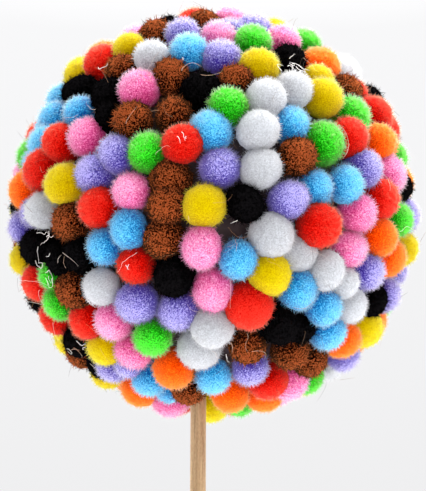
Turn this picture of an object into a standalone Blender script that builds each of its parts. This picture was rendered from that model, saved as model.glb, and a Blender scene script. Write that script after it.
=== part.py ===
"""A ball covered all over with small craft pompoms, on a round wooden stick.

Metres, +Z up. The origin is the centre of the stick's lower end, and the stick runs up +Z into the ball.
The front of the ball faces -Y. Two solids are built: the ball, whose skin rises over every pompom, and
the stick, which sits in a blind hole in the ball's underside.
"""

import math
import random
from collections import namedtuple

import bmesh
import bpy
import numpy as np
from mathutils import Matrix, Vector

# Driving dimensions
BALL_RADIUS = 0.0500
POMPOM_RADIUS = 0.0048
STICK_RADIUS = 0.0018
STICK_LENGTH = 0.150
STICK_BELOW_BALL = 0.100
STICK_OFF_CENTRE = 0.0034
CLEARANCE = 0.0003

# Worked out from them
BALL_CENTRE = Vector((STICK_OFF_CENTRE, 0, STICK_BELOW_BALL + BALL_RADIUS))
VALLEY_RADIUS = BALL_RADIUS - 1.2 * POMPOM_RADIUS
LOWEST_CROWN = 0.0008
SMALLEST = 0.95
LARGEST = 1.05

# The packing of the pompoms, in degrees seen from the ball's centre. Each fill offers a number of evenly
# spread places, and a pompom goes wherever one has that much room.
PITCH = 11.0
NUDGE = 1.5
SETTLING_STEPS = 60
PUSH = 0.35
HOME_FREEDOM = 0.45
HOME_PULL = 0.12
NO_WIDTH = 1e-9
SEED = 11
Fill = namedtuple("Fill", "places room")
FILLS = [Fill(384, 9.0), Fill(4000, 8.6), Fill(4000, 8.4)]

# Facets
RING_SHARE = 0.3
RING_POINTS = 6
STICK_SIDES = 24
STICK_EDGE = 0.0002

# The front of the ball, row by row, each row running from left to right. tilt is a row's angle down from
# the top of the ball, first is the bearing of its first pompom (0 faces the front, plus is to the right)
# and step is the bearing from one pompom to the next, all in degrees. A capital is a pompom's colour: Red,
# Orange, Yellow, Green, Blue, Violet, Pink, browN, blacK or White. Small letters nudge it up, down, left or
# right, set it further out or in, or make it bigger or smaller, and a dot leaves a place to a pompom of
# another row.
Row = namedtuple("Row", "tilt first step pompoms")
FRONT_ROWS = [
    Row(33, -27, 13.5, "Kdrro Ruuo Ndlo Pllo Vddddlll Yulo"),
    Row(45, -53, 14.5, "Ouulloo Puuuu No Vddlo Pdddl"),
    Row(45, 31, 15, "Pllo Guulo Nuuu"),
    Row(52, 16, 42, "Gll Wurobb"),
    Row(53, -59, 15, "Yo Rro Yuulos"),
    Row(56, 41, 0, "Ob"),
    Row(61, -19, 11, "Wlo Bro Vld Yddddll Kuo"),
    Row(63, 46, 20, "Ndb Kuro"),
    Row(64, -62, 18, "Buuuull Kdl Nl"),
    Row(68, 81, 0, "N"),
    Row(69, -78, 0, "R"),
    Row(69, 57, 12, "Rrrob Rd"),
    Row(70, -57, 0, "Bdl"),
    Row(71, -33, 10.5, "Krru Pdro Nuul Kddib Nl Wddrro Yrdo Gdddrrb"),
    Row(76, 72, 0, "G"),
    Row(78, -73, 15, "Gu B Buu"),
    Row(81, -24, 12, "Ndr Nri Grrob Wuurro"),
    Row(82, 41, 14, "Rd Ouro"),
    Row(91, -69, 0, "Oob"),
    Row(87, -57, 10.5, "Rrrob Ruuuo Puul"),
    Row(87, -1, 11.5, "B Wro Buuli Gllb Vdddl Prr"),
    Row(87, 74, 0, "K"),
    Row(92, -28, 10, "Vr Gdr Ro Vdddi Wddd Nro"),
    Row(94, 80, 0, "Vo"),
    Row(97, -70, 12.5, "Vddllo Wddrs Yrrob Vui"),
    Row(98, 28, 12.5, "Bddi B Rob Gdr"),
    Row(104, -44, 10.5, "Nddb Rr P Nuui"),
    Row(104, 80, 0, "Yuroo"),
    Row(107, -76, 13, "Ylo Kdlo"),
    Row(107, 44, 13, "Puuu Ob Odd"),
    Row(107, 92, 0, "V"),
    Row(108, -11, 10, "Nuu Ylo Kulo Vuurr Rddob"),
    Row(114, 45, 0, "Pi"),
    Row(116, -89, 15, "Kdo Rob"),
    Row(115, -46, 10.4, "Krr Brr Bu Ni Pddro Bddddros Wrb"),
    Row(117, -56, 0, "Krrr"),
    Row(117, 84, 0, "Vdlo"),
    Row(118, 27, 0, "Wii"),
    Row(120, 35, 24, "Wdrs Vul"),
    Row(125, -67, 13.5, "Gr Nlub Ws Ruuuur Kuo . Yrru Bdrr"),
    Row(125, 74, 0, "Ku"),
    Row(127, -80, 0, "Rob"),
    Row(128, 53, 0, "Wrr"),
    Row(131, 80, 0, "Yoob"),
    Row(132, -101, 0, "Yoo"),
    Row(133, -57, 14, "R Pdd V Vdddri Purib Robb Kdddob Bru Bdd Oddd"),
    Row(138, -92, 17, "Nulllo Kuo"),
    Row(141, 84, 17, "Vuuroo W"),
    Row(143, -62, 17.5, "Y Pdd Guo"),
    Row(143, 0, 18, "Wuulo Ndddb Ndddrrrb"),
    Row(149, -102, 18, "Yuuuulllo Kuuuulll Vulll"),
    Row(149, 68, 26, "Nlb Gdddlllo"),
    Row(151, -8, 0, "Wi"),
    Row(156, 84, 0, "Pdlllo"),
    Row(158, -104, 0, "Odro"),
    Row(159, -60, 30, "B Ouurb Bd Vui Rl"),
    Row(164, 100, 0, "Odllo"),
    Row(166, -112, 0, "Po"),
    Row(170, -32, 72, "Nuu Oddo G Yo"),
    Row(163, -141, 0, "Ro"),
]
NUDGES = {"u": (-1, 0), "d": (1, 0), "l": (0, -1), "r": (0, 1)}
DEPTHS = {"o": -0.0006, "i": 0.0010}
GROWTHS = {"b": 1.07, "s": 0.92}


def direction(tilt, bearing):
    """The unit vector at an angle down from +Z and a bearing from the front, -Y, towards +X, in degrees."""
    tilt = math.radians(tilt)
    bearing = math.radians(bearing)
    level = math.sin(tilt)
    return np.array((level * math.sin(bearing), -level * math.cos(bearing), math.cos(tilt)))


def front_pompoms():
    """The pompoms in FRONT_ROWS: their directions, how much deeper than usual each sits, and how much larger."""
    places = []
    depths = []
    growths = []
    for row in FRONT_ROWS:
        for index, pompom in enumerate(row.pompoms.split()):
            tilt = row.tilt
            bearing = row.first + index * row.step
            for mark in pompom[1:]:
                down, right = NUDGES.get(mark, (0, 0))
                tilt += down * NUDGE
                bearing += right * NUDGE / math.sin(math.radians(tilt))
            if pompom != ".":
                places.append(direction(tilt, bearing))
                depths.append(sum(DEPTHS.get(mark, 0) for mark in pompom[1:]))
                growths.append(math.prod(GROWTHS.get(mark, 1) for mark in pompom[1:]))
    return places, depths, growths


def spread(count):
    """Evenly spread directions, on a spiral from pole to pole."""
    golden = 180 * (3 - math.sqrt(5))
    tilts = [math.degrees(math.acos(1 - (2 * turn + 1) / count)) for turn in range(count)]
    return [direction(tilt, turn * golden) for turn, tilt in enumerate(tilts)]


def filled(places, fill):
    """Adds a pompom at each spread place that has room for one."""
    for place in spread(fill.places):
        if (places @ place).max() < math.cos(math.radians(fill.room)):
            places = np.vstack((places, place))
    return places


def settled(places, home):
    """Pushes crowded pompoms apart, as glueing them side by side does. Those with a home stay near it, and
    the first place, the stick's, doesn't move."""
    freedom = np.ones((len(places), 1))
    freedom[: len(home)] = HOME_FREEDOM
    freedom[0] = 0
    for _ in range(SETTLING_STEPS):
        cosines = np.clip(places @ places.T, -1, 1)
        np.fill_diagonal(cosines, -1)
        crowding = np.clip(math.radians(PITCH) - np.arccos(cosines), 0, None)
        apart = places[:, None, :] - places[None, :, :]
        apart /= np.maximum(np.linalg.norm(apart, axis=2, keepdims=True), NO_WIDTH)
        places = places + PUSH * freedom * (crowding[:, :, None] * apart).sum(axis=1)
        places[: len(home)] += HOME_PULL * (home - places[: len(home)])
        places /= np.linalg.norm(places, axis=1, keepdims=True)
    return places


def pompoms():
    """Each pompom's direction, the distance of its centre from the ball's centre, and its radius."""
    charted, depths, growths = front_pompoms()
    stick = np.array((-STICK_OFF_CENTRE, 0, -BALL_RADIUS))
    home = np.array([stick / np.linalg.norm(stick)] + charted)
    places = home
    for fill in FILLS:
        places = settled(filled(places, fill), home)
    chance = random.Random(SEED)
    radii = np.array([POMPOM_RADIUS * chance.uniform(SMALLEST, LARGEST) for _ in places])
    radii[1 : len(home)] *= growths
    sunk = np.array([chance.uniform(0, LOWEST_CROWN) for _ in places])
    sunk[1 : len(home)] += depths
    return places[1:], (BALL_RADIUS - radii - sunk)[1:], radii[1:]


def hull(directions):
    """The triangles that join points on a unit sphere, as a bmesh."""
    skin = bmesh.new()
    for place in directions:
        skin.verts.new(place)
    bmesh.ops.convex_hull(skin, input=skin.verts)
    return skin


def ring(place, angle):
    """Points round a direction, at one angle from it."""
    axis = Vector(place)
    side = axis.orthogonal().normalized()
    tipped = Matrix.Rotation(angle, 3, side) @ axis
    return [Matrix.Rotation(math.tau * k / RING_POINTS, 3, axis) @ tipped for k in range(RING_POINTS)]


def skin_directions(places):
    """Where the skin has a point: each crown and a ring round it, each saddle and each valley corner."""
    neighbours = hull(places)
    saddles = [(edge.verts[0].co + edge.verts[1].co).normalized() for edge in neighbours.edges]
    corners = [face.normal * math.copysign(1, face.normal.dot(face.verts[0].co)) for face in neighbours.faces]
    neighbours.free()
    crowns = [Vector(place) for place in places]
    rings = [point for place in places for point in ring(place, math.radians(RING_SHARE * PITCH))]
    return crowns + rings + saddles + corners


def skin_height(place, places, seats, radii):
    """How far the skin is from the ball's centre in one direction: over the pompom that stands highest."""
    along = seats * (places @ np.array(place))
    inside = radii**2 - (seats**2 - along**2)
    over = np.where((inside > 0) & (along > 0), along + np.sqrt(np.maximum(inside, 0)), 0)
    return max(float(over.max()), VALLEY_RADIUS)


# Finishes, as a colour and a roughness
WOOD = (0.52, 0.31, 0.17), 0.6
PILE = (0.80, 0.25, 0.35), 1.0
SHARPEST_SMOOTH = 50


def material(name, colour, roughness):
    finish = bpy.data.materials.new(name)
    finish.use_nodes = True
    principled = finish.node_tree.nodes["Principled BSDF"]
    principled.inputs["Base Color"].default_value = (*colour, 1)
    principled.inputs["Roughness"].default_value = roughness
    principled.inputs["Metallic"].default_value = 0
    return finish


def add_object(name, shape, finish):
    """Turns a bmesh into an object, smooth but for its sharp edges."""
    bmesh.ops.recalc_face_normals(shape, faces=shape.faces)
    mesh = bpy.data.meshes.new(name)
    shape.to_mesh(mesh)
    shape.free()
    mesh.shade_smooth()
    mesh.set_sharp_from_angle(angle=math.radians(SHARPEST_SMOOTH))
    piece = bpy.data.objects.new(name, mesh)
    piece.data.materials.append(finish)
    bpy.context.scene.collection.objects.link(piece)
    return piece


def rod(radius, bottom, top):
    """A round bar along Z."""
    bar = bmesh.new()
    middle = Matrix.Translation((0, 0, (bottom + top) / 2))
    bmesh.ops.create_cone(
        bar,
        cap_ends=True,
        segments=STICK_SIDES,
        radius1=radius,
        radius2=radius,
        depth=top - bottom,
        matrix=middle,
    )
    return bar


def make_stick():
    """The wooden stick: a straight round bar, its cut ends lightly rubbed down."""
    bar = rod(STICK_RADIUS, 0, STICK_LENGTH)
    rims = [edge for edge in bar.edges if abs(edge.verts[0].co.z - edge.verts[1].co.z) < CLEARANCE]
    bmesh.ops.bevel(bar, geom=rims, offset=STICK_EDGE, segments=1, affect="EDGES")
    return add_object("stick", bar, material("wood", *WOOD))


def make_hole():
    """The cutter for the blind hole that the stick is glued into."""
    bore = rod(STICK_RADIUS + CLEARANCE, STICK_BELOW_BALL - BALL_RADIUS, STICK_LENGTH + CLEARANCE)
    cutter = add_object("stick_hole", bore, bpy.data.materials["wood"])
    cutter.hide_render = True
    cutter.display_type = "WIRE"
    return cutter


def make_ball(hole):
    """The ball of pompoms as one solid, with the stick's hole cut out of its underside."""
    places, seats, radii = pompoms()
    skin = hull(skin_directions(places))
    for point in skin.verts:
        point.co *= skin_height(point.co, places, seats, radii)
    ball = add_object("pompom_ball", skin, material("pompom_pile", *PILE))
    ball.location = BALL_CENTRE
    cut = ball.modifiers.new("stick hole", "BOOLEAN")
    cut.operation = "DIFFERENCE"
    cut.solver = "EXACT"
    cut.object = hole
    return ball


def main():
    for old in list(bpy.data.objects):
        bpy.data.objects.remove(old, do_unlink=True)
    make_stick()
    make_ball(make_hole())


main()
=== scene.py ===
# %% [markdown]
# # A ball of craft pompoms on a stick
#
# This lesson dresses a plain model of a pompom ball: a ball as wide as a hand, glued all over with small
# fuzzy pompoms in ten colours, on a round wooden stick. The plain model is the frame. Its pompoms follow the
# same chart and the same sizes as the ones made here, so the new pieces fit over it.
#
# Lengths are in metres, +Z is up, and the front of the ball faces -Y.

# %% The frame
import math
import random
from collections import Counter, namedtuple

import bmesh
import bpy
import numpy as np
from mathutils import Euler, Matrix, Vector


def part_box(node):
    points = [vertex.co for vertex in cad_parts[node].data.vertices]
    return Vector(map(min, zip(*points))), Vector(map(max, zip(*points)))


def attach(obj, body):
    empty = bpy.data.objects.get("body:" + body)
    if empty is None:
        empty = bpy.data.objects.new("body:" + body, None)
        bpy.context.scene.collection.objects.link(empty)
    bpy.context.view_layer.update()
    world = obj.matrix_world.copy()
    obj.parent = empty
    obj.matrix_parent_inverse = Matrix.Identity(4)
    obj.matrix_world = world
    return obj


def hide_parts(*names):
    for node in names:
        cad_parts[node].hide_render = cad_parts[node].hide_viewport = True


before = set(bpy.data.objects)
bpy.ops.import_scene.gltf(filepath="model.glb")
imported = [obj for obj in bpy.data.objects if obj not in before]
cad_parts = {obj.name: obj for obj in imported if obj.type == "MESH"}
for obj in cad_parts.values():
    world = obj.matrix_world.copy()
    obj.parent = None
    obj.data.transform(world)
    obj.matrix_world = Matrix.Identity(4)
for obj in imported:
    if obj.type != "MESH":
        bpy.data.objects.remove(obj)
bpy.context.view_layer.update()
for node in ("pompom_ball", "stick"):
    low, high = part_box(node)
    print(node, [round(top - bottom, 4) for bottom, top in zip(low, high)])

# %% [markdown]
# ## Where the pompoms go
#
# Nobody places such pompoms by a rule: they are glued on one by one, each beside the last. That could be
# imitated by scattering points at random, but random points leave holes and clumps, and the colours of the
# front have an order that should be kept. So the front is charted, like a knitting chart, in rows that
# run round the stick, and the rest of the ball is filled with evenly spread places. Then all of them are
# pushed apart a little, over and over, until they lie side by side as glued pompoms do. Where a gap is still
# wide enough to show the foam, a smaller pompom in the colour of its neighbour is pressed in, a bit deeper.
#
# PITCH, NUDGE, GAP_ROOM and the room of a fill are angles at the ball's centre, in degrees.

# %% The sizes of the ball and its packing
BALL_RADIUS = 0.0500
POMPOM_RADIUS = 0.0048
STICK_OFF_CENTRE = 0.0034
BALL_CENTRE = Vector((STICK_OFF_CENTRE, 0, 0.150))
LOWEST_CROWN = 0.0008
SMALLEST = 0.95
LARGEST = 1.05

PITCH = 11.0
NUDGE = 1.5
SETTLING_STEPS = 60
PUSH = 0.35
HOME_FREEDOM = 0.45
HOME_PULL = 0.12
NO_WIDTH = 1e-9  # instead of 0, to divide by
SEED = 11
Fill = namedtuple("Fill", "places room")
FILLS = [Fill(384, 9.0), Fill(4000, 8.6), Fill(4000, 8.4)]

# %% [markdown]
# ## The chart
#
# A row's tilt is its angle down from the top of the ball, first is the bearing of its first pompom (0 faces
# the front, plus is to the right) and step is the bearing from one pompom to the next, all in degrees. A
# capital is a pompom's colour: Red, Orange, Yellow, Green, Blue, Violet, Pink, browN, blacK or White. Small
# letters nudge it up, down, left or right, set it further out or in, or make it bigger or smaller, and a
# dot leaves a place to a pompom of another row.

# %% The chart of the front
Row = namedtuple("Row", "tilt first step pompoms")
FRONT_ROWS = [
    Row(33, -27, 13.5, "Kdrro Ruuo Ndlo Pllo Vddddlll Yulo"),
    Row(45, -53, 14.5, "Ouulloo Puuuu No Vddlo Pdddl"),
    Row(45, 31, 15, "Pllo Guulo Nuuu"),
    Row(52, 16, 42, "Gll Wurobb"),
    Row(53, -59, 15, "Yo Rro Yuulos"),
    Row(56, 41, 0, "Ob"),
    Row(61, -19, 11, "Wlo Bro Vld Yddddll Kuo"),
    Row(63, 46, 20, "Ndb Kuro"),
    Row(64, -62, 18, "Buuuull Kdl Nl"),
    Row(68, 81, 0, "N"),
    Row(69, -78, 0, "R"),
    Row(69, 57, 12, "Rrrob Rd"),
    Row(70, -57, 0, "Bdl"),
    Row(71, -33, 10.5, "Krru Pdro Nuul Kddib Nl Wddrro Yrdo Gdddrrb"),
    Row(76, 72, 0, "G"),
    Row(78, -73, 15, "Gu B Buu"),
    Row(81, -24, 12, "Ndr Nri Grrob Wuurro"),
    Row(82, 41, 14, "Rd Ouro"),
    Row(91, -69, 0, "Oob"),
    Row(87, -57, 10.5, "Rrrob Ruuuo Puul"),
    Row(87, -1, 11.5, "B Wro Buuli Gllb Vdddl Prr"),
    Row(87, 74, 0, "K"),
    Row(92, -28, 10, "Vr Gdr Ro Vdddi Wddd Nro"),
    Row(94, 80, 0, "Vo"),
    Row(97, -70, 12.5, "Vddllo Wddrs Yrrob Vui"),
    Row(98, 28, 12.5, "Bddi B Rob Gdr"),
    Row(104, -44, 10.5, "Nddb Rr P Nuui"),
    Row(104, 80, 0, "Yuroo"),
    Row(107, -76, 13, "Ylo Kdlo"),
    Row(107, 44, 13, "Puuu Ob Odd"),
    Row(107, 92, 0, "V"),
    Row(108, -11, 10, "Nuu Ylo Kulo Vuurr Rddob"),
    Row(114, 45, 0, "Pi"),
    Row(116, -89, 15, "Kdo Rob"),
    Row(115, -46, 10.4, "Krr Brr Bu Ni Pddro Bddddros Wrb"),
    Row(117, -56, 0, "Krrr"),
    Row(117, 84, 0, "Vdlo"),
    Row(118, 27, 0, "Wii"),
    Row(120, 35, 24, "Wdrs Vul"),
    Row(125, -67, 13.5, "Gr Nlub Ws Ruuuur Kuo . Yrru Bdrr"),
    Row(125, 74, 0, "Ku"),
    Row(127, -80, 0, "Rob"),
    Row(128, 53, 0, "Wrr"),
    Row(131, 80, 0, "Yoob"),
    Row(132, -101, 0, "Yoo"),
    Row(133, -57, 14, "R Pdd V Vdddri Purib Robb Kdddob Bru Bdd Oddd"),
    Row(138, -92, 17, "Nulllo Kuo"),
    Row(141, 84, 17, "Vuuroo W"),
    Row(143, -62, 17.5, "Y Pdd Guo"),
    Row(143, 0, 18, "Wuulo Ndddb Ndddrrrb"),
    Row(149, -102, 18, "Yuuuulllo Kuuuulll Vulll"),
    Row(149, 68, 26, "Nlb Gdddlllo"),
    Row(151, -8, 0, "Wi"),
    Row(156, 84, 0, "Pdlllo"),
    Row(158, -104, 0, "Odro"),
    Row(159, -60, 30, "B Ouurb Bd Vui Rl"),
    Row(164, 100, 0, "Odllo"),
    Row(166, -112, 0, "Po"),
    Row(170, -32, 72, "Nuu Oddo G Yo"),
    Row(163, -141, 0, "Ro"),
]
NUDGES = {"u": (-1, 0), "d": (1, 0), "l": (0, -1), "r": (0, 1)}
DEPTHS = {"o": -0.0006, "i": 0.0010}
GROWTHS = {"b": 1.07, "s": 0.92}
print(sum(len(row.pompoms.split()) for row in FRONT_ROWS), "places in the chart")


# %% Reading the chart
def direction(tilt, bearing):
    """The unit vector at an angle down from +Z and a bearing from the front, -Y, towards +X, in degrees."""
    tilt = math.radians(tilt)
    bearing = math.radians(bearing)
    level = math.sin(tilt)
    return np.array((level * math.sin(bearing), -level * math.cos(bearing), math.cos(tilt)))


def front_pompoms():
    """The pompoms in FRONT_ROWS: directions, how much deeper and how much larger each is, and letters."""
    places, depths, growths, letters = [], [], [], []
    for row in FRONT_ROWS:
        for index, pompom in enumerate(row.pompoms.split()):
            tilt = row.tilt
            bearing = row.first + index * row.step
            for mark in pompom[1:]:
                down, right = NUDGES.get(mark, (0, 0))
                tilt += down * NUDGE
                bearing += right * NUDGE / math.sin(math.radians(tilt))
            if pompom != ".":
                places.append(direction(tilt, bearing))
                depths.append(sum(DEPTHS.get(mark, 0) for mark in pompom[1:]))
                growths.append(math.prod(GROWTHS.get(mark, 1) for mark in pompom[1:]))
                letters.append(pompom[0])
    return places, depths, growths, letters


# %% Filling and settling
def spread(count):
    """Evenly spread directions, on a spiral from pole to pole."""
    golden = 180 * (3 - math.sqrt(5))
    tilts = [math.degrees(math.acos(1 - (2 * turn + 1) / count)) for turn in range(count)]
    return [direction(tilt, turn * golden) for turn, tilt in enumerate(tilts)]


def filled(places, fill):
    """Adds a pompom at each spread place that has room for one."""
    for place in spread(fill.places):
        if (places @ place).max() < math.cos(math.radians(fill.room)):
            places = np.vstack((places, place))
    return places


def settled(places, home):
    """Pushes crowded pompoms apart. Those with a home stay near it, and the stick's place doesn't move."""
    freedom = np.ones((len(places), 1))
    freedom[: len(home)] = HOME_FREEDOM
    freedom[0] = 0
    for _ in range(SETTLING_STEPS):
        cosines = np.clip(places @ places.T, -1, 1)
        np.fill_diagonal(cosines, -1)
        crowding = np.clip(math.radians(PITCH) - np.arccos(cosines), 0, None)
        apart = places[:, None, :] - places[None, :, :]
        apart /= np.maximum(np.linalg.norm(apart, axis=2, keepdims=True), NO_WIDTH)
        places = places + PUSH * freedom * (crowding[:, :, None] * apart).sum(axis=1)
        places[: len(home)] += HOME_PULL * (home - places[: len(home)])
        places /= np.linalg.norm(places, axis=1, keepdims=True)
    return places


# %% The last gaps
GAP_ROOM = 7.8
GAP_PLACES = 8000
GAP_DEPTH = 0.0014
GAP_SIZE = 0.9


def gaps(places):
    """The directions of the gaps that are left wide enough to show the foam, the widest first."""
    offered = np.array(spread(GAP_PLACES))
    count = len(places)
    while (closeness := (offered @ places.T).max(axis=1)).min() < math.cos(math.radians(GAP_ROOM)):
        places = np.vstack((places, offered[closeness.argmin()]))
    return places[count:]


# %% Every pompom on the ball
SWELL = 1.10  # the pile reaches past where the neighbours meet
Pompom = namedtuple("Pompom", "letter way centre radius")
LETTERS = "ROYGBVPNKW"


def pompoms():
    """All pompoms: colour letter, direction from the ball's centre, centre and radius."""
    charted, depths, growths, letters = front_pompoms()
    stick = np.array((-STICK_OFF_CENTRE, 0, -BALL_RADIUS))
    home = np.array([stick / np.linalg.norm(stick)] + charted)
    places = home
    for fill in FILLS:
        places = settled(filled(places, fill), home)
    chance = random.Random(SEED)
    radii = np.array([POMPOM_RADIUS * chance.uniform(SMALLEST, LARGEST) for _ in places])
    radii[1 : len(home)] *= growths
    sunk = [chance.uniform(0, LOWEST_CROWN) for _ in places]
    free = len(places) - len(home)
    sunk = np.array(sunk) + [0, *depths, *[0] * free]
    letters = ["stick", *letters, *[chance.choice(LETTERS) for _ in range(free)]]
    every = []
    for letter, way, radius, low in zip(letters, places, radii, sunk):
        centre = np.array(BALL_CENTRE) + (BALL_RADIUS - radius - low) * way
        every.append(Pompom(letter, way, centre, SWELL * radius))
    small = GAP_SIZE * POMPOM_RADIUS
    for way in gaps(places):
        neighbour = (places[1:] @ way).argmax() + 1
        centre = np.array(BALL_CENTRE) + (BALL_RADIUS - small - GAP_DEPTH) * way
        every.append(Pompom(letters[neighbour], way, centre, SWELL * small))
    return every[1:]


POMPOMS = pompoms()
tally = Counter(pompom.letter for pompom in POMPOMS)
print(len(POMPOMS), "pompoms:", dict(tally))

# %% [markdown]
# ## The cores
#
# Under its pile each pompom is a soft round core, pressed out of true by its neighbours. It could be a fine
# sphere, but it repeats hundreds of times and the pile hides it, so a cube with each side cut in nine and
# blown up to a ball is enough: 54 faces. Each copy is stretched along random axes and made a little lumpy.
#
# Six values are stored on every point for the steps that follow: pile_way, the direction its fibres grow
# in, pile_face, the direction its light comes from, pile_room, whether it is clear of the neighbours,
# pile_sky, how much of the sky it sees past them, which the pile colours turn into painted shade, pile_dye,
# how dark this pompom was dyed, and pile_tile, the corner of the small square that this pompom gets on the
# piece's UV map.

# %% A core's shape
CUTS = 3
CUBE_SIDES = [
    ((0, 1, 0), (0, 0, 1)),
    ((0, -1, 0), (0, 0, 1)),
    ((-1, 0, 0), (0, 0, 1)),
    ((1, 0, 0), (0, 0, 1)),
    ((1, 0, 0), (0, 1, 0)),
    ((1, 0, 0), (0, -1, 0)),
]
FIBRE_SHARE = 0.34  # of a UV square is left to the fibres


def core_template():
    """Points and faces of a ball of radius 1, and each face corner's place in a UV square."""
    numbers = {}
    faces, spots = [], []
    for side, (right, up) in enumerate(CUBE_SIDES):
        out = np.cross(right, up)
        for cell in range(CUTS * CUTS):
            face = []
            for across, along in ((0, 0), (1, 0), (1, 1), (0, 1)):
                x = (cell % CUTS + across) / CUTS
                y = (cell // CUTS + along) / CUTS
                slopes = [math.tan(math.radians(90 * part - 45)) for part in (x, y)]
                point = out + slopes[0] * np.array(right) + slopes[1] * np.array(up)
                point = tuple((point / np.linalg.norm(point)).round(6))
                face.append(numbers.setdefault(point, len(numbers)))
                spots.append(((side % 3 + x) / 3, FIBRE_SHARE + (1 - FIBRE_SHARE) * (side // 3 + y) / 2))
            faces.append(face)
    return np.array(list(numbers)), np.array(faces), np.array(spots)


UNIT, QUADS, SPOTS = core_template()
print(len(UNIT), "points and", len(QUADS), "faces in a core")

# %% What is done to each copy
STRETCH = 0.07
LUMP = 0.03
LUMP_TURNS = 3.0
MINGLED = 0.0006
BURIED = 0.15  # radii below a pompom's middle, where its pile begins
EMERGING = 0.25  # radii from there to where it is full
# painted shade: a pompom's sides and the places its neighbours cover see less sky and are painted darker
OPEN_SKY = 0.85  # seen by a fibre that stands out sideways
SKY_TILT = 0.5  # added as it turns outwards
SHADE_REACH = 2.6
SHADE_POWER = 1.3
SHADE_BEND = 1.2
GROWTH_BEND = 0.15
LIGHT_BEND = 0.9


def random_turn(chance):
    """A random rotation matrix."""
    return np.array(Euler([chance.uniform(0, math.tau) for _ in range(3)]).to_matrix())


def pressed(chance):
    """The template's points, turned, stretched and made lumpy at random."""
    turn = random_turn(chance)
    stretch = np.diag([1 + chance.uniform(-STRETCH, STRETCH) for _ in range(3)])
    points = UNIT @ random_turn(chance) @ turn @ stretch @ turn.T
    bumps = np.sin(LUMP_TURNS * points @ random_turn(chance) + chance.uniform(0, math.tau))
    return points * (1 + LUMP * bumps.mean(axis=1, keepdims=True))


def neighbours(pompom, reach):
    """The pompoms whose centres lie within this many of its radii."""
    for other in POMPOMS:
        if 0 < np.linalg.norm(other.centre - pompom.centre) < reach * pompom.radius:
            yield other


def room(points, pompom, depth):
    """Whether each point is clear of the foam and the neighbours, from 0 to 1."""
    height = (points - pompom.centre) @ pompom.way / pompom.radius
    clear = np.clip((height + BURIED) / EMERGING, 0, 1)
    for other in neighbours(pompom, 2):
        past = np.linalg.norm(points - other.centre, axis=1) - (other.radius - depth)
        clear *= np.clip(1 + past / MINGLED, 0, 1)
    return clear


def sky(points, shape, pompom):
    """How much sky each point sees past the neighbours and the ball itself, from 0 to 1, for painted shade.
    """
    out = shape / np.linalg.norm(shape, axis=1)[:, None]
    seen = np.clip(OPEN_SKY + SKY_TILT * out @ pompom.way, 0, 1)
    for other in neighbours(pompom, SHADE_REACH):
        towards = other.centre - points
        far = np.linalg.norm(towards, axis=1)
        facing = (towards * out).sum(axis=1) / far
        away = np.maximum(far / other.radius, 1)
        covered = np.clip(0.5 * (facing * away + 1) / away**2, 0, 1)
        seen *= 1 - covered**SHADE_POWER
    return 1 - (1 - seen) ** SHADE_BEND


# %% Joining the cores of one colour
UV_MAP = "OFBake"
TILES = 8  # squares across the UV map, one square for each pompom


def bent(shape, pompom, share):
    """Unit directions out of a pompom, bent by a share towards the outside of the whole ball."""
    out = shape / np.linalg.norm(shape, axis=1)[:, None] + share * pompom.way
    return out / np.linalg.norm(out, axis=1)[:, None]


def placed(name, data):
    """A new object in the scene that shows this mesh, lamp or lens."""
    thing = bpy.data.objects.new(name, data)
    bpy.context.scene.collection.objects.link(thing)
    return thing


def core_piece(name, letter, depth):
    """One mesh with the cores of all pompoms of a colour, and the values that a pile of this depth needs."""
    chance = random.Random(LETTERS.index(letter))
    mesh = bpy.data.meshes.new(name)
    own = [pompom for pompom in POMPOMS if pompom.letter == letter]
    shapes = [pressed(chance) for _ in own]
    points = [pompom.centre + (pompom.radius - depth) * shape for pompom, shape in zip(own, shapes)]
    rooms = [room(some, pompom, depth) for some, pompom in zip(points, own)]
    skies = [sky(some, shape, pompom) for some, shape, pompom in zip(points, shapes, own)]
    tiles = [np.array((index % TILES, index // TILES)) / TILES for index in range(len(own))]
    faces = [QUADS + len(UNIT) * index for index in range(len(own))]
    mesh.from_pydata(np.concatenate(points).tolist(), [], np.concatenate(faces).tolist())
    mesh.shade_smooth()
    values = {
        "pile_way": ("FLOAT_VECTOR", "vector", [bent(*pair, GROWTH_BEND) for pair in zip(shapes, own)]),
        "pile_face": ("FLOAT_VECTOR", "vector", [bent(*pair, LIGHT_BEND) for pair in zip(shapes, own)]),
        "pile_room": ("FLOAT", "value", rooms),
        "pile_sky": ("FLOAT", "value", skies),
        "pile_dye": ("FLOAT", "value", [np.full(len(UNIT), chance.random()) for _ in own]),
        "pile_tile": ("FLOAT_VECTOR", "vector", [np.tile((*tile, 0), (len(UNIT), 1)) for tile in tiles]),
    }
    for key, (kind, field, rows) in values.items():
        mesh.attributes.new(key, kind, "POINT").data.foreach_set(field, np.concatenate(rows).ravel())
    spots = np.concatenate([tile + SPOTS / TILES for tile in tiles])
    mesh.uv_layers.new(name=UV_MAP).uv.foreach_set("vector", spots.ravel())
    return placed(name, mesh)


# %% [markdown]
# ## The pile
#
# The pile of a pompom is thousands of cut fibre ends that stand out all round. Hair particles could draw
# them, but they would be lost when the model is exported, so each fibre is a real, closed shape: a thin
# spike of four triangles. Geometry Nodes scatters the roots over the open part of each core, turns every
# spike to stand up and lean a little, and keeps on each one how far up a point is (pile_rise) and how light
# its fibre is painted (pile_light), a tone of its own mixed with painted shade where its sky is
# covered. The materials read those values.


# %% Small helpers for node trees
def add(tree, kind, **settings):
    """A new node with its settings made."""
    node = tree.nodes.new(kind)
    for name, value in settings.items():
        setattr(node, name, value)
    return node


def plug(tree, socket, value):
    """Gives a socket a plain value or another node's output."""
    if isinstance(value, bpy.types.NodeSocket):
        tree.links.new(value, socket)
    else:
        socket.default_value = value


def feed(tree, node, **values):
    """Fills a node's inputs by name, with _ for a space."""
    for name, value in values.items():
        wanted = name.replace("_", " ")
        matches = (socket for socket in node.inputs if socket.enabled and socket.name == wanted)
        plug(tree, next(matches), value)
    return node


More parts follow.
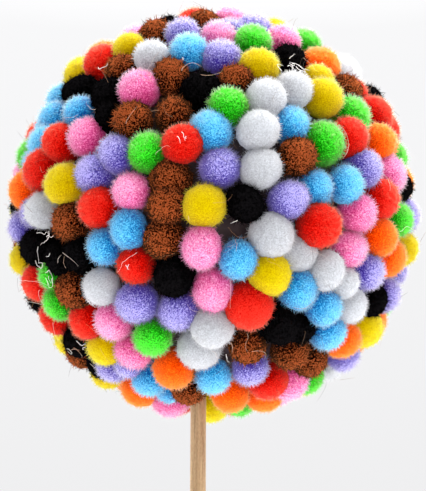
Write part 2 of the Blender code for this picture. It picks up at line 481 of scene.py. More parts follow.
def new_group(name, kind, inputs, outputs):
    """A node group with its sockets, and what its input node gives."""
    tree = bpy.data.node_groups.new(name, kind)
    for way, sockets in (("INPUT", inputs), ("OUTPUT", outputs)):
        for title, sort in sockets.items():
            tree.interface.new_socket(title, in_out=way, socket_type="NodeSocket" + sort)
    return tree, add(tree, "NodeGroupInput").outputs


def maths(tree, operation, *values, clamp=False):
    """A Math node's output."""
    node = add(tree, "ShaderNodeMath", operation=operation, use_clamp=clamp)
    for socket, value in zip(node.inputs, values):
        plug(tree, socket, value)
    return node.outputs[0]


def vectors(tree, operation, *values):
    """A Vector Math node's output."""
    node = add(tree, "ShaderNodeVectorMath", operation=operation)
    for socket, value in zip(node.inputs, values):
        plug(tree, socket, value)
    return node.outputs[0]


def mixed(tree, share, first, second, kind="RGBA"):
    """A mix of two colours, vectors or numbers."""
    node = add(tree, "ShaderNodeMix", data_type=kind)
    feed(tree, node, Factor=share, A=first, B=second)
    return next(socket for socket in node.outputs if socket.enabled)


def named(tree, name, kind="FLOAT"):
    """The output that reads a named attribute in Geometry Nodes."""
    node = add(tree, "GeometryNodeInputNamedAttribute", data_type=kind)
    return feed(tree, node, Name=name).outputs["Attribute"]


def stored(tree, geometry, name, value, kind="FLOAT", domain="POINT"):
    """Geometry with one more named value on it."""
    node = add(tree, "GeometryNodeStoreNamedAttribute", data_type=kind, domain=domain)
    return feed(tree, node, Geometry=geometry, Name=name, Value=value).outputs["Geometry"]


def random_value(tree, low, high, seed, kind="FLOAT"):
    """A random number or vector for each point."""
    node = add(tree, "FunctionNodeRandomValue", data_type=kind)
    return feed(tree, node, Min=low, Max=high, Seed=seed).outputs["Value"]


# %% A fibre
FIBRE_SIDES = 3
SPOT_TALL = 0.26
SPOT_WIDE = 0.02
SPOT_THICK = 0.015


def fibre(tree):
    """A closed spike of four triangles, 1 tall, that keeps its height and its own spot in the UV map."""
    spike = add(tree, "GeometryNodeMeshCone", fill_type="NGON")
    feed(tree, spike, Vertices=FIBRE_SIDES, Radius_Top=0.0, Radius_Bottom=1.0, Depth=1.0)
    here = add(tree, "GeometryNodeInputPosition").outputs[0]
    split = add(tree, "ShaderNodeSeparateXYZ")
    tree.links.new(here, split.inputs[0])
    shape = stored(tree, spike.outputs["Mesh"], "pile_rise", split.outputs["Z"])
    shape = stored(tree, shape, "pile_loose", 1.0)
    spot = add(tree, "ShaderNodeCombineXYZ")
    tall = maths(tree, "MULTIPLY", split.outputs["Z"], SPOT_TALL)
    feed(tree, spot, X=maths(tree, "MULTIPLY", split.outputs["Y"], SPOT_WIDE))
    feed(tree, spot, Y=maths(tree, "MULTIPLY_ADD", split.outputs["X"], SPOT_THICK, tall))
    return stored(tree, shape, "pile_spot", spot.outputs[0], "FLOAT_VECTOR")


# %% The tree that grows the pile
PILE_INPUTS = {
    "Cores": "Geometry",
    "Fibres per m2": "Float",
    "Fibre length": "Float",
    "Fibre thickness": "Float",
    "Lean": "Float",
    "Mottle": "Float",
    "Seed": "Int",
    "Finish": "Material",
}
SHORTEST = 0.6
LONGEST = 1.2
STRIP_EDGE = 0.03
STRIP_RUN = 0.94
CORE_LIGHT = 0.5
CORE_RISE = 0.3


def tone_and_painted_shade(tree, given, own):
    """Painted shade from the sky a fibre sees, mixed by the share Mottle with a tone of its own."""
    return mixed(tree, given["Mottle"], named(tree, "pile_sky"), own, "FLOAT")


def pile_tree():
    """Geometry Nodes: cores in, cores with their pile out."""
    tree, given = new_group("pompom pile", "GeometryNodeTree", PILE_INPUTS, {"Pompoms": "Geometry"})
    room = named(tree, "pile_room")
    roots = add(tree, "GeometryNodeDistributePointsOnFaces", distribute_method="RANDOM")
    feed(tree, roots, Mesh=given["Cores"], Density=maths(tree, "MULTIPLY", given["Fibres per m2"], room))
    feed(tree, roots, Seed=given["Seed"])
    # each fibre's own tone, mixed with painted shade where its sky is covered
    light = tone_and_painted_shade(tree, given, random_value(tree, 0.0, 1.0, 1))
    points = stored(tree, roots.outputs["Points"], "pile_light", light)

    upright = add(tree, "FunctionNodeAlignRotationToVector", axis="Z")
    feed(tree, upright, Vector=named(tree, "pile_way", "FLOAT_VECTOR"))
    sideways = random_value(tree, (-1, -1, -math.pi), (1, 1, math.pi), 2, "FLOAT_VECTOR")
    lean = add(tree, "ShaderNodeVectorMath", operation="SCALE")
    feed(tree, lean, Vector=sideways, Scale=given["Lean"])
    turned = add(tree, "FunctionNodeRotateRotation", rotation_space="LOCAL")
    tree.links.new(upright.outputs["Rotation"], turned.inputs[0])
    tree.links.new(lean.outputs["Vector"], turned.inputs[1])
    size = add(tree, "ShaderNodeCombineXYZ")
    tall = maths(tree, "MULTIPLY", random_value(tree, SHORTEST, LONGEST, 3), given["Fibre length"])
    feed(tree, size, X=given["Fibre thickness"], Y=given["Fibre thickness"], Z=tall)

    planted = add(tree, "GeometryNodeInstanceOnPoints")
    feed(tree, planted, Points=points, Instance=fibre(tree))
    feed(tree, planted, Rotation=turned.outputs[0], Scale=size.outputs[0])
    real = add(tree, "GeometryNodeRealizeInstances")
    tree.links.new(planted.outputs["Instances"], real.inputs["Geometry"])
    strip = add(tree, "ShaderNodeCombineXYZ")
    along = maths(tree, "MULTIPLY_ADD", named(tree, "pile_light"), STRIP_RUN, STRIP_EDGE)
    feed(tree, strip, X=along, Y=STRIP_EDGE)
    spot = vectors(tree, "ADD", strip.outputs[0], named(tree, "pile_spot", "FLOAT_VECTOR"))
    corner = named(tree, "pile_tile", "FLOAT_VECTOR")
    spot = vectors(tree, "MULTIPLY_ADD", spot, (1 / TILES, 1 / TILES, 0), corner)
    fibres = stored(tree, real.outputs["Geometry"], UV_MAP, spot, "FLOAT2", "CORNER")

    # the cores get the same painted shade where their sky is covered
    cores = stored(tree, given["Cores"], "pile_light", tone_and_painted_shade(tree, given, CORE_LIGHT))
    cores = stored(tree, cores, "pile_rise", CORE_RISE)
    joined = add(tree, "GeometryNodeJoinGeometry")
    tree.links.new(fibres, joined.inputs[0])
    tree.links.new(cores, joined.inputs[0])
    dressed = add(tree, "GeometryNodeSetMaterial")
    feed(tree, dressed, Geometry=joined.outputs[0], Material=given["Finish"])
    tree.links.new(dressed.outputs[0], add(tree, "NodeGroupOutput").inputs["Pompoms"])
    return tree


PILE = pile_tree()
print("pile tree:", len(PILE.nodes), "nodes")


# %% Running the tree and keeping the result
def set_inputs(modifier, **values):
    """Sets a node tree's inputs by their identifiers."""
    for item in modifier.node_group.interface.items_tree:
        wanted = item.name.replace(" ", "_")
        if wanted in values:
            modifier[item.identifier] = values[wanted]


def applied(piece):
    """Turns what the modifiers made into the piece's plain mesh."""
    ready = piece.evaluated_get(bpy.context.evaluated_depsgraph_get())
    mesh = bpy.data.meshes.new_from_object(ready)
    piece.modifiers.clear()
    old = piece.data
    piece.data = mesh
    bpy.data.meshes.remove(old)
    mesh.name = piece.name
    return piece


# %% [markdown]
# ## The colours
#
# The pile is dyed acrylic. Seen close it is never one colour: between the fibres it is deep and dark, the
# cut ends catch the light, and round the rim of a pompom the thin pile looks paler. The colours paint this
# light and shade: painted shade low in the pile, a painted highlight at the tips and a painted sheen round
# the rim. One plain colour would look like painted wood.
#
# A kind of pile is given by the length and thickness of its fibres, how far they lean in radians, its mottle,
# which is how much of a fibre's tone is its own and not painted shade from the sky it sees, and the number
# of fibres on a square metre. Each yarn is given by its kind of pile, by four colours, for the root, the
# middle and the tip of its fibres, which paint shade low in the pile and a highlight at the tips, and for the
# painted sheen of its rim, and by four numbers:
#
# - speckle: how much one fibre differs from the next, and how strongly the painted shade darkens it,
# - softness: how much it shades like a smooth ball, as short dense pile does, and not like a heap of ends,
# - sheen: how much of the sheen colour is painted over the rim,
# - glow: how much light passes through the fibres and comes out beside where it went in.

# %% The kinds of pile and the yarns
Pile = namedtuple("Pile", "length thickness lean mottle fibres")
VELVET = Pile(length=0.0009, thickness=0.000055, lean=0.6, mottle=0.30, fibres=4.9e6)
TUFTED = Pile(length=0.0011, thickness=0.000060, lean=0.8, mottle=0.35, fibres=5.6e6)
CRINKLED = Pile(length=0.0014, thickness=0.000110, lean=1.5, mottle=0.60, fibres=2.8e6)

Yarn = namedtuple("Yarn", "letter name pile root middle tip fuzz speckle softness sheen glow")
# root and middle colours hold painted shade, tip colours a painted highlight, the fourth a painted sheen
YARNS = [
    Yarn("R", "red", VELVET, (0.2, 0.0, 0.0), (0.56, 0.001, 0.0), (0.7, 0.022, 0.012),
         (0.98, 0.18, 0.12), 1.1, 0.6, 0.25, 0.6),
    Yarn("O", "orange", VELVET, (0.5, 0.02, 0.0), (0.86, 0.06, 0.0), (0.98, 0.15, 0.006),
         (1.0, 0.46, 0.1), 1.1, 0.6, 0.45, 0.6),
    Yarn("Y", "yellow", VELVET, (0.28, 0.15, 0.0), (0.54, 0.37, 0.0), (0.7, 0.59, 0.001),
         (0.96, 0.92, 0.16), 0.65, 0.6, 0.25, 0.6),
    Yarn("G", "green", TUFTED, (0.0, 0.09, 0.0), (0.001, 0.3, 0.0), (0.044, 0.72, 0.022),
         (0.34, 0.86, 0.16), 1.5, 0.6, 0.45, 0.6),
    Yarn("B", "blue", TUFTED, (0.001, 0.06, 0.28), (0.01, 0.28, 0.6), (0.14, 0.58, 0.86),
         (0.52, 0.78, 0.88), 1.3, 0.6, 0.4, 0.6),
    Yarn("V", "lavender", TUFTED, (0.03, 0.01, 0.24), (0.09, 0.07, 0.36), (0.42, 0.38, 0.78),
         (0.74, 0.68, 0.9), 1.6, 0.6, 0.4, 0.6),
    Yarn("P", "pink", TUFTED, (0.44, 0.004, 0.11), (0.74, 0.11, 0.33), (0.9, 0.42, 0.64),
         (1.0, 0.7, 0.8), 1.0, 0.6, 0.25, 0.6),
    Yarn("N", "brown", CRINKLED, (0.0, 0.0, 0.0), (0.004, 0.0001, 0.0), (0.31, 0.066, 0.017),
         (0.8, 0.34, 0.14), 3.6, 0.3, 0.12, 0.0),
    Yarn("K", "black", CRINKLED, (0.0, 0.0, 0.0), (0.0001, 0.0001, 0.0001), (0.005, 0.0045, 0.005),
         (0.014, 0.012, 0.013), 2.8, 0.4, 0.2, 0.0),
    Yarn("W", "white", VELVET, (0.3, 0.3, 0.32), (0.42, 0.43, 0.45), (0.56, 0.58, 0.61),
         (0.74, 0.73, 0.74), 0.9, 0.6, 0.4, 0.6),
]
print(len(YARNS), "yarns")


# %% Small helpers for materials
def new_material(name):
    """A material, its node tree and its Principled BSDF."""
    finish = bpy.data.materials.new(name)
    finish.use_nodes = True
    return finish, finish.node_tree, finish.node_tree.nodes["Principled BSDF"]


def location(tree):
    """Where in the piece a point is."""
    return add(tree, "ShaderNodeTexCoord").outputs["Object"]


def value_of(tree, name):
    """The number that a shader reads from a named attribute."""
    return add(tree, "ShaderNodeAttribute", attribute_name=name).outputs["Fac"]


def ramp(tree, share, first, second, third):
    """From one colour through a second to a third, as the share goes from 0 to 1."""
    low = maths(tree, "MULTIPLY", share, 2.0, clamp=True)
    high = maths(tree, "MULTIPLY_ADD", share, 2.0, -1.0, clamp=True)
    return mixed(tree, high, mixed(tree, low, first, second), third)


# %% Shader groups that every pile material shares
FLUFF_SCALE = 3200.0
FLUFF_DEPTH = 3.0
DYE_SPREAD = 0.24
RISE_CURVE = 0.6
RISE_RUN = 0.7
RISE_START = 0.1


def pile_colour_group():
    """Root, middle and tip colours, mixed by how far up a fibre a point is and by tone and painted shade."""
    inputs = {"Root": "Color", "Middle": "Color", "Tip": "Color", "Speckle": "Float"}
    tree, given = new_group("pile colour", "ShaderNodeTree", inputs, {"Colour": "Color"})
    fluff = add(tree, "ShaderNodeTexNoise", noise_dimensions="3D")
    feed(tree, fluff, Vector=location(tree), Scale=FLUFF_SCALE, Detail=3.0, Roughness=0.7)
    skin = maths(tree, "SUBTRACT", 1.0, value_of(tree, "pile_loose"))
    grain = maths(tree, "MULTIPLY", maths(tree, "SUBTRACT", fluff.outputs["Fac"], 0.5), skin)
    # a fibre's own tone and the painted shade of its covered sky
    light = maths(tree, "SUBTRACT", value_of(tree, "pile_light"), 0.5)
    own = maths(tree, "MULTIPLY_ADD", grain, FLUFF_DEPTH, light)
    dye = maths(tree, "MULTIPLY_ADD", value_of(tree, "pile_dye"), DYE_SPREAD, -DYE_SPREAD / 2)
    rise = maths(tree, "POWER", value_of(tree, "pile_rise"), RISE_CURVE)
    rise = maths(tree, "MULTIPLY_ADD", rise, RISE_RUN, RISE_START)
    height = maths(tree, "ADD", maths(tree, "MULTIPLY_ADD", own, given["Speckle"], rise), dye)
    # painted shade and highlight: the dark root colour is shade deep in the pile, the pale tip a highlight
    colour = ramp(tree, height, given["Root"], given["Middle"], given["Tip"])
    tree.links.new(colour, add(tree, "NodeGroupOutput").inputs["Colour"])
    return tree


def pile_normal_group():
    """Turns a fibre's own normal towards the open side of its pompom, so that dense pile shades softly."""
    tree, given = new_group("pile normal", "ShaderNodeTree", {"Softness": "Float"}, {"Normal": "Vector"})
    own = add(tree, "ShaderNodeNewGeometry").outputs["Normal"]
    way = add(tree, "ShaderNodeAttribute", attribute_name="pile_face").outputs["Vector"]
    even = vectors(tree, "NORMALIZE", mixed(tree, given["Softness"], own, way, "VECTOR"))
    tree.links.new(even, add(tree, "NodeGroupOutput").inputs["Normal"])
    return tree


PILE_COLOUR = pile_colour_group()
PILE_NORMAL = pile_normal_group()


# %% A material for each yarn
RIM_SHEEN_BLEND = 0.25
GLOW_REACH = 0.0004


def pile_material(yarn):
    """Dyed pile: root, middle and tip colours, a pale painted sheen round the rim, and light taken softly."""
    finish, tree, principled = new_material("pile " + yarn.name)
    colour = add(tree, "ShaderNodeGroup", node_tree=PILE_COLOUR)
    feed(tree, colour, Root=(*yarn.root, 1), Middle=(*yarn.middle, 1), Tip=(*yarn.tip, 1))
    feed(tree, colour, Speckle=yarn.speckle)
    normal = add(tree, "ShaderNodeGroup", node_tree=PILE_NORMAL)
    feed(tree, normal, Softness=yarn.softness)
    # painted sheen: the colour turns to the pale sheen colour where the pile is seen edge-on
    edge = add(tree, "ShaderNodeLayerWeight")
    outwards = add(tree, "ShaderNodeAttribute", attribute_name="pile_way").outputs["Vector"]
    feed(tree, edge, Blend=RIM_SHEEN_BLEND, Normal=outwards)
    sheen = maths(tree, "MULTIPLY", edge.outputs["Facing"], yarn.sheen)
    colour_with_painted_sheen = mixed(tree, sheen, colour.outputs["Colour"], (*yarn.fuzz, 1))
    feed(tree, principled, Base_Color=colour_with_painted_sheen, Normal=normal.outputs[0])
    feed(tree, principled, Roughness=0.9, Specular_IOR_Level=0.0)
    feed(tree, principled, Subsurface_Weight=yarn.glow, Subsurface_Scale=GLOW_REACH)
    feed(tree, principled, Subsurface_Radius=(1.0, 1.0, 1.0))
    return finish


# %% Growing the pile of every colour
CORE_DEPTH = 0.8  # fibre lengths below the tips


def pile_piece(yarn, seed):
    """All pompoms of one yarn, cores and pile, as one piece."""
    piece = core_piece("pompoms_" + yarn.name, yarn.letter, CORE_DEPTH * yarn.pile.length)
    grow = piece.modifiers.new("pile", "NODES")
    grow.node_group = PILE
    set_inputs(
        grow,
        Fibres_per_m2=yarn.pile.fibres,
        Fibre_length=yarn.pile.length,
        Fibre_thickness=yarn.pile.thickness,
        Lean=yarn.pile.lean,
        Mottle=yarn.pile.mottle,
        Seed=seed,
        Finish=pile_material(yarn),
    )
    return applied(piece)


piles = [pile_piece(yarn, seed) for seed, yarn in enumerate(YARNS)]
for piece in piles:
    print(piece.name, len(piece.data.polygons), "faces")

# %% [markdown]
# ## The ball inside
#
# The pompoms are glued on a ball of foam. It shows only at the bottom of the deepest gaps, and there its
# near-black colour is painted shade. It could be moulded bead by bead, but hardly a bead is ever seen. So it
# is a smooth ball, just wide enough to leave the pompoms their depth, and its beads are only a pattern in its
# colour.

# %% The foam ball
FOAM_RADIUS = 0.0415
FOAM_CUTS = 4
FOAM_BEADS = 400.0
# painted shade: the foam's near-black colours stand for the shade in the gaps; its beads are its own pattern
DARK_FOAM_SHADE = (0.022, 0.012, 0.014, 1)
PALE_FOAM_SHADE = (0.070, 0.046, 0.050, 1)


def foam_ball():
    """A smooth ball in the middle, of foam coloured near black as painted shade."""
    ball = bmesh.new()
    bmesh.ops.create_icosphere(ball, subdivisions=FOAM_CUTS, radius=FOAM_RADIUS)
    bmesh.ops.translate(ball, vec=BALL_CENTRE, verts=ball.verts)
    mesh = bpy.data.meshes.new("foam_ball")
    ball.to_mesh(mesh)
    ball.free()
    mesh.shade_smooth()
    finish, tree, principled = new_material("foam")
    beads = add(tree, "ShaderNodeTexVoronoi")
    feed(tree, beads, Vector=location(tree), Scale=FOAM_BEADS)
    colour = mixed(tree, beads.outputs["Distance"], DARK_FOAM_SHADE, PALE_FOAM_SHADE)
    feed(tree, principled, Base_Color=colour, Roughness=0.9)
    mesh.materials.append(finish)
    return placed("foam_ball", mesh)


foam = foam_ball()
print("foam ball", 2 * FOAM_RADIUS)

# %% [markdown]
# ## Loose threads
#
# A glued ball is never quite clean. Cut ends of yarn, strings of glue and stray hairs stay caught on it, and
# they show most on the dark pompoms. All could be scattered at random, but the largest have places of their
# own, so these are listed as the pompoms are: the tilt and bearing where a thread starts, the heading it
# sets out on (0 is to the right and 90 is up), its length in millimetres, and its bend, in degrees to the
# left for each millimetre. The short stray hairs do grow at random. Every thread wanders a little and is
# then made a closed tube of three sides. A tone of 0 is dark brown, 0.5 is tan and 1 is white.

# %% The listed threads
Kind = namedtuple("Kind", "tone radius waver")  # waver: the most that it turns at each step, in degrees
KINDS = {
    "wool": Kind(tone=1.0, radius=0.000060, waver=40),
    "glue": Kind(tone=0.8, radius=0.000035, waver=5),
    "curl": Kind(tone=0.6, radius=0.000045, waver=12),
}
Thread = namedtuple("Thread", "kind tilt bearing heading length bend")
THREADS = [
    # caught on the black pompoms at the left
    Thread("wool", 107, -52, -30, 5.5, 6),
    Thread("wool", 108, -46, -90, 2.0, -60),
    Thread("wool", 109, -48, -35, 3.0, 10),
    Thread("wool", 109, -49, 176, 4.5, 12),
    Thread("wool", 110, -55, -105, 4.5, -5),
    Thread("wool", 113, -57, -80, 3.0, 15),
    Thread("wool", 114, -55, 0, 4.5, -60),
    Thread("wool", 113, -49, -170, 2.0, 15),
    Thread("wool", 117, -54, 30, 9.0, -40),
    Thread("wool", 118, -56, -105, 2.0, 10),
    Thread("wool", 118, -54, -140, 2.0, 50),
    Thread("wool", 119, -52, -165, 2.0, 40),
    Thread("glue", 116, -46, 60, 2.5, -25),
    Thread("glue", 114, -43, -35, 5.0, -4),
    # on the red ones beside them
    Thread("glue", 115, -70, -12, 13.0, -1.5),
    Thread("glue", 119, -76, -22, 12.0, 0),
    Thread("glue", 120, -61, 175, 5.0, 30),
    Thread("wool", 126, -40, -110, 3.0, 22),
    # on the black one high up in front
    Thread("curl", 72, -8, 85, 6.0, -24),
    Thread("curl", 74, -3, -20, 5.5, 15),
    Thread("wool", 68, -8, 65, 1.0, 0),
    # a tuft on the white one high up at the right
    Thread("wool", 71, 18, 85, 3.5, -25),
    Thread("wool", 66, 21, 50, 3.0, -20),
    Thread("wool", 71, 19, 70, 2.0, -60),
    Thread("wool", 72, 20, 70, 5.5, -28),
    Thread("wool", 69, 20, 0, 3.0, 60),
    Thread("wool", 71, 21, -80, 3.5, 15),
    Thread("wool", 70, 22, -65, 3.0, 15),
    Thread("curl", 64, 26, -45, 4.0, -7),
    # low at the left
    Thread("wool", 136, -69, 5, 4.5, -70),
    Thread("curl", 137, -69, -5, 4.0, -5),
    Thread("curl", 137, -68, -30, 4.0, -40),
    Thread("wool", 136, -63, -60, 4.0, 20),
    Thread("wool", 139, -64, 0, 2.5, 0),
    Thread("glue", 143, -69, -95, 2.5, 0),
    # single ones
    Thread("curl", 144, 16, 20, 5.0, -25),
    Thread("curl", 142, 7, -60, 3.0, -10),
    Thread("wool", 147, 6, -50, 3.0, 5),
    Thread("curl", 85, 33, -55, 8.0, -10),
    Thread("curl", 88, 36, -100, 4.0, -10),
    Thread("wool", 111, 6, -110, 1.5, -30),
    Thread("glue", 125, 5, -87, 6.5, 0),
    Thread("wool", 66, -33, -36, 4.0, 40),
    # three stars of lint
    Thread("wool", 91, -7, -57, 2.0, 0),
    Thread("wool", 92, -8, -20, 1.8, -25),
    Thread("wool", 92, -6, -140, 1.0, 50),
    Thread("wool", 120, -24, -60, 1.3, 0),
    Thread("wool", 120, -23, -145, 1.3, 0),
    Thread("curl", 110, -6, -70, 1.2, 0),
    Thread("curl", 116, 6, -95, 1.8, 0),
]
print(len(THREADS), "listed threads")


# %% The way that a thread takes
THREAD_STEP = 0.0002
THREAD_LIFT = 0.0003
TURN_KEPT = 0.7
MM_PER_METRE = 1000
CENTRES = np.array([pompom.centre for pompom in POMPOMS]) - np.array(BALL_CENTRE)
RADII = np.array([pompom.radius for pompom in POMPOMS])


def top_of_pile(way):
    """How far from the ball's centre the pile ends in a direction."""
    along = CENTRES @ way
    inside = RADII**2 - (CENTRES**2).sum(axis=1) + along**2
    return np.where(inside > 0, along + np.sqrt(np.maximum(inside, 0)), 0).max()


def thread_ways(chance, start, heading, length, bend, waver):
    """The directions from the ball's centre that a thread passes through, as it bends and wavers."""
    ways, turn = [start], 0
    for step in range(round(length / THREAD_STEP)):
        turn = TURN_KEPT * turn + waver * chance.uniform(-1, 1)
        angle = math.radians(heading + bend * MM_PER_METRE * THREAD_STEP * step + turn)
        right = np.cross((0, 0, 1), ways[-1])
        right /= np.linalg.norm(right)
        up = np.cross(ways[-1], right)
        onward = ways[-1] + THREAD_STEP / BALL_RADIUS * (math.cos(angle) * right + math.sin(angle) * up)
        ways.append(onward / np.linalg.norm(onward))
    ways = np.array(ways)
    ways[1:-1] = (ways[:-2] + 2 * ways[1:-1] + ways[2:]) / 4
    return ways


# %% Every thread and hair
HAIRS = 260
HAIR_RADIUS = 0.00003
HAIR_WAVER = 22
HAIR_LENGTHS = 0.002, 0.006
HAIR_BEND = 35
HAIR_RISES = 0.0005, 0.0030
HAIR_HEIGHTS = -0.95, 0.95
Strand = namedtuple("Strand", "points radius tone")


def listed_strands(chance):
    """The threads of the table. Each is carried by the highest pile under it."""
    for thread in THREADS:
        kind = KINDS[thread.kind]
        start = direction(thread.tilt, thread.bearing)
        length = thread.length / MM_PER_METRE
        ways = thread_ways(chance, start, thread.heading, length, thread.bend, kind.waver)
        height = max(map(top_of_pile, ways)) + THREAD_LIFT
        yield Strand(np.array(BALL_CENTRE) + height * ways, kind.radius, kind.tone)


def stray_hairs(chance):
    """Short thin hairs all round that rise from the pile, most of them dark."""
    for _ in range(HAIRS):
        tilt = math.degrees(math.acos(chance.uniform(*HAIR_HEIGHTS)))
        start = direction(tilt, chance.uniform(0, 360))
        bend = chance.uniform(-HAIR_BEND, HAIR_BEND)
        heading = chance.uniform(0, 360)
        ways = thread_ways(chance, start, heading, chance.uniform(*HAIR_LENGTHS), bend, HAIR_WAVER)
        heights = top_of_pile(start) + chance.uniform(*HAIR_RISES) * np.linspace(0, 1, len(ways))
        yield Strand(np.array(BALL_CENTRE) + heights[:, None] * ways, HAIR_RADIUS, chance.random() ** 2)


# %% From lines to tubes
THREAD_SIDES = 3
STRIP_SHARE = 0.8


def strand_tree():
    """Geometry Nodes: lines in, closed tubes with a UV map out."""
    inputs = {"Lines": "Geometry", "Strip": "Float", "Finish": "Material"}
    tree, given = new_group("strands", "GeometryNodeTree", inputs, {"Tubes": "Geometry"})
    ring = feed(tree, add(tree, "GeometryNodeCurvePrimitiveCircle"), Resolution=THREAD_SIDES, Radius=1.0)
    factor = add(tree, "GeometryNodeSplineParameter").outputs["Factor"]
    profile = stored(tree, ring.outputs["Curve"], "strand_round", factor)
    curve = feed(tree, add(tree, "GeometryNodeMeshToCurve"), Mesh=given["Lines"])
    tube = add(tree, "GeometryNodeCurveToMesh")
    feed(tree, tube, Curve=curve.outputs["Curve"], Profile_Curve=profile, Fill_Caps=True)
    feed(tree, tube, Scale=named(tree, "strand_radius"))
    across = add(tree, "ShaderNodeCombineXYZ")
    feed(tree, across, X=maths(tree, "MULTIPLY", named(tree, "strand_round"), given["Strip"]))
    spot = vectors(tree, "ADD", named(tree, "strand_spot", "FLOAT_VECTOR"), across.outputs[0])
    mapped = stored(tree, tube.outputs["Mesh"], UV_MAP, spot, "FLOAT2", "CORNER")
    real = feed(tree, add(tree, "GeometryNodeRealizeInstances"), Geometry=mapped)
    dressed = add(tree, "GeometryNodeSetMaterial")
    feed(tree, dressed, Geometry=real.outputs["Geometry"], Material=given["Finish"])
    tree.links.new(dressed.outputs[0], add(tree, "NodeGroupOutput").inputs["Tubes"])
    return tree


# %% The threads' material
THREAD_GRAIN = 1500.0
UNEVENNESS = 0.3
DARK_THREAD = (0.012, 0.006, 0.004, 1)
TAN_THREAD = (0.50, 0.24, 0.10, 1)
WHITE_THREAD = (0.92, 0.88, 0.85, 1)


def thread_material():
    """Thread from dark brown through tan to white, by each strand's tone, uneven along its length."""
    finish, tree, principled = new_material("loose thread")
    tone = value_of(tree, "strand_tone")
    uneven = add(tree, "ShaderNodeTexNoise", noise_dimensions="3D")
    feed(tree, uneven, Vector=location(tree), Scale=THREAD_GRAIN, Detail=2.0)
    tone = maths(tree, "SUBTRACT", tone, UNEVENNESS / 2)
    tone = maths(tree, "MULTIPLY_ADD", uneven.outputs["Fac"], UNEVENNESS, tone)
    colour = ramp(tree, tone, DARK_THREAD, TAN_THREAD, WHITE_THREAD)
    feed(tree, principled, Base_Color=colour, Roughness=0.6)
    return finish


# %% The piece with all threads
TAPER = 0.6


def thread_piece():
    """All threads and hairs as one piece."""
    chance = random.Random(SEED)
    strands = [*listed_strands(chance), *stray_hairs(chance)]
    mesh = bpy.data.meshes.new("loose_threads")
    points, edges, radii, tones, spots = [], [], [], [], []
    for number, strand in enumerate(strands):
        share = np.linspace(0, 1, len(strand.points))
        edges += [(len(points) + step, len(points) + step + 1) for step in range(len(strand.points) - 1)]
        points += strand.points.tolist()
        radii += (strand.radius * (1 - TAPER * share**2)).tolist()
        tones += [strand.tone] * len(strand.points)
        spots += [(number / len(strands), place, 0) for place in share]
    mesh.from_pydata(points, edges, [])
    mesh.attributes.new("strand_radius", "FLOAT", "POINT").data.foreach_set("value", radii)
    mesh.attributes.new("strand_tone", "FLOAT", "POINT").data.foreach_set("value", tones)
    spots = np.array(spots).ravel()
    mesh.attributes.new("strand_spot", "FLOAT_VECTOR", "POINT").data.foreach_set("vector", spots)
    piece = placed("loose_threads", mesh)
    grow = piece.modifiers.new("tubes", "NODES")
    grow.node_group = strand_tree()
    set_inputs(grow, Strip=STRIP_SHARE / len(strands), Finish=thread_material())
    applied(piece)
    piece.data.shade_smooth()
    return piece


threads = thread_piece()
print(threads.name, len(threads.data.polygons), "faces")

# %% [markdown]
# ## The stick
#
# A round stick of pale wood, turned and sanded. The frame's stick already has the right shape, so it stays
# and only gets its finish: straight grain that runs up the stick, as bands and long thin streaks, with fine
# pores. The grain is noise that is stretched along the stick, so it passes through the wood as real grain
# does and needs no UV map.

# %% The wood
DARK_GRAIN = (0.13, 0.060, 0.016, 1)
PALE_GRAIN = (0.72, 0.49, 0.26, 1)
GRAIN_RELIEF = 0.0001
Grain = namedtuple("Grain", "scale stretch detail share")
GRAINS = [
    Grain(scale=500, stretch=0.03, detail=2, share=1.1),  # broad bands
    Grain(scale=1700, stretch=0.06, detail=4, share=0.7),  # streaks
    Grain(scale=3500, stretch=0.4, detail=2, share=0.4),  # pores
]


def wood_material():
    """Bare wood with its grain up the stick."""
    finish, tree, principled = new_material("stick wood")
    place = location(tree)
    height = 0.5
    for grain in GRAINS:
        along = feed(tree, add(tree, "ShaderNodeMapping"), Vector=place, Scale=(1.0, 1.0, grain.stretch))
        noise = add(tree, "ShaderNodeTexNoise", noise_dimensions="3D")
        feed(tree, noise, Vector=along.outputs[0], Scale=float(grain.scale), Detail=float(grain.detail))
        wave = maths(tree, "SUBTRACT", noise.outputs["Fac"], 0.5)
        height = maths(tree, "MULTIPLY_ADD", wave, grain.share, height)
    colour = mixed(tree, height, DARK_GRAIN, PALE_GRAIN)
    bump = feed(tree, add(tree, "ShaderNodeBump"), Strength=0.3, Distance=GRAIN_RELIEF, Height=height)
    feed(tree, principled, Base_Color=colour, Normal=bump.outputs[0], Roughness=0.65)
    feed(tree, principled, Sheen_Weight=0.3, Sheen_Roughness=0.3)
    return finish


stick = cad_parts["stick"]
stick.data.materials.clear()
stick.data.materials.append(wood_material())
print(stick.name, "is now", stick.data.materials[0].name)

# %% [markdown]
# ## The studio
#
# A plain pale floor in a white light tent, which is brighter overhead and at the sides and dim on the side
# that the camera stands on. It could be built from glowing panels, but a world that is brighter one way than
# another gives the same soft light. One weak soft lamp above the front right adds to it. The camera stands
# below the middle of the ball and looks up at it.

# %% The floor
FLOOR_SIZE = 30.0
FLOOR_COLOUR = (0.85, 0.85, 0.86, 1)


def floor_piece():
    """A pale matt floor, wider than any view."""
    ground = bmesh.new()
    bmesh.ops.create_grid(ground, x_segments=1, y_segments=1, size=FLOOR_SIZE / 2)
    mesh = bpy.data.meshes.new("floor")
    ground.to_mesh(mesh)
    ground.free()
    finish, tree, principled = new_material("floor")
    feed(tree, principled, Base_Color=FLOOR_COLOUR, Roughness=0.8)
    mesh.materials.append(finish)
    return placed("floor", mesh)


floor = floor_piece()

# %% The surround
BRIGHTNESS = 0.86
BRIGHTER_UPWARDS = 0.18
SURROUND_WHITE = (0.99, 0.99, 1.0, 1)
Glow = namedtuple("Glow", "axis slope start amount")
GLOWS = [
    Glow("Y", -3.0, 2.5, 0.55),  # all round, but for the wall behind the ball
    Glow("Y", -1.5, 0.0, -1.0),  # the side that the camera stands on
    Glow("X", 2.0, -0.5, 0.3),  # to the right
    Glow("Z", 2.0, -1.0, 1.2),  # overhead
]


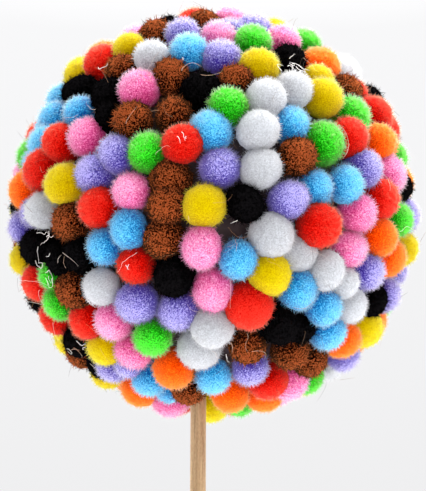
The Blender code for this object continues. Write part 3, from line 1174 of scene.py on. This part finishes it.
def surround_world():
    """White all round like a light tent. Each row of GLOWS makes one side of it brighter or darker."""
    surround = bpy.data.worlds.new("surround")
    surround.use_nodes = True
    tree = surround.node_tree
    way = add(tree, "ShaderNodeSeparateXYZ")
    tree.links.new(add(tree, "ShaderNodeTexCoord").outputs["Generated"], way.inputs[0])
    walls = 1.0
    for glow in GLOWS:
        reach = maths(tree, "MULTIPLY_ADD", way.outputs[glow.axis], glow.slope, glow.start, clamp=True)
        walls = maths(tree, "MULTIPLY_ADD", reach, glow.amount, walls)
    upwards = maths(tree, "MULTIPLY_ADD", way.outputs["Z"], BRIGHTER_UPWARDS, BRIGHTNESS)
    strength = maths(tree, "MULTIPLY", upwards, walls)
    feed(tree, tree.nodes["Background"], Color=SURROUND_WHITE, Strength=strength)
    return surround


bpy.context.scene.world = surround_world()
bpy.context.scene.view_settings.view_transform = "Standard"


# %% The lights
def soft_light(name, place, size, power):
    """A square light that faces the ball."""
    lamp = bpy.data.lights.new(name, "AREA")
    lamp.size = size
    lamp.energy = power
    light = placed(name, lamp)
    light.location = BALL_CENTRE + Vector(place)
    light.rotation_euler = (-Vector(place)).to_track_quat("-Z", "Y").to_euler()


soft_light("key", place=(0.15, -0.10, 0.50), size=0.5, power=6.0)

# %% The camera
CAMERA_DISTANCE = 5 * BALL_RADIUS
CAMERA_TILT = math.radians(20)
AIM_BELOW_CENTRE = math.radians(1.69)
FOCAL_LENGTH = 74.6
SENSOR_WIDTH = 36
NEAREST_SEEN = 0.01

lens = bpy.data.cameras.new("camera")
lens.lens = FOCAL_LENGTH
lens.sensor_width = SENSOR_WIDTH
lens.clip_start = NEAREST_SEEN
camera = placed("camera", lens)
back = Vector((0, -math.cos(CAMERA_TILT), -math.sin(CAMERA_TILT)))
camera.location = BALL_CENTRE + CAMERA_DISTANCE * back
camera.rotation_euler = (math.pi / 2 + CAMERA_TILT - AIM_BELOW_CENTRE, 0, 0)
bpy.context.scene.camera = camera
print("camera", tuple(round(value, 4) for value in camera.location))

# %% [markdown]
# ## Handing over
#
# Everything is glued, so all pieces ride on the one body. The pompoms, the foam and the threads stand in for
# the plain ball of the frame, and the stick is the frame's own.

# %% The new pieces
for piece in [*piles, foam, threads]:
    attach(piece, "root")
    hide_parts("pompom_ball")
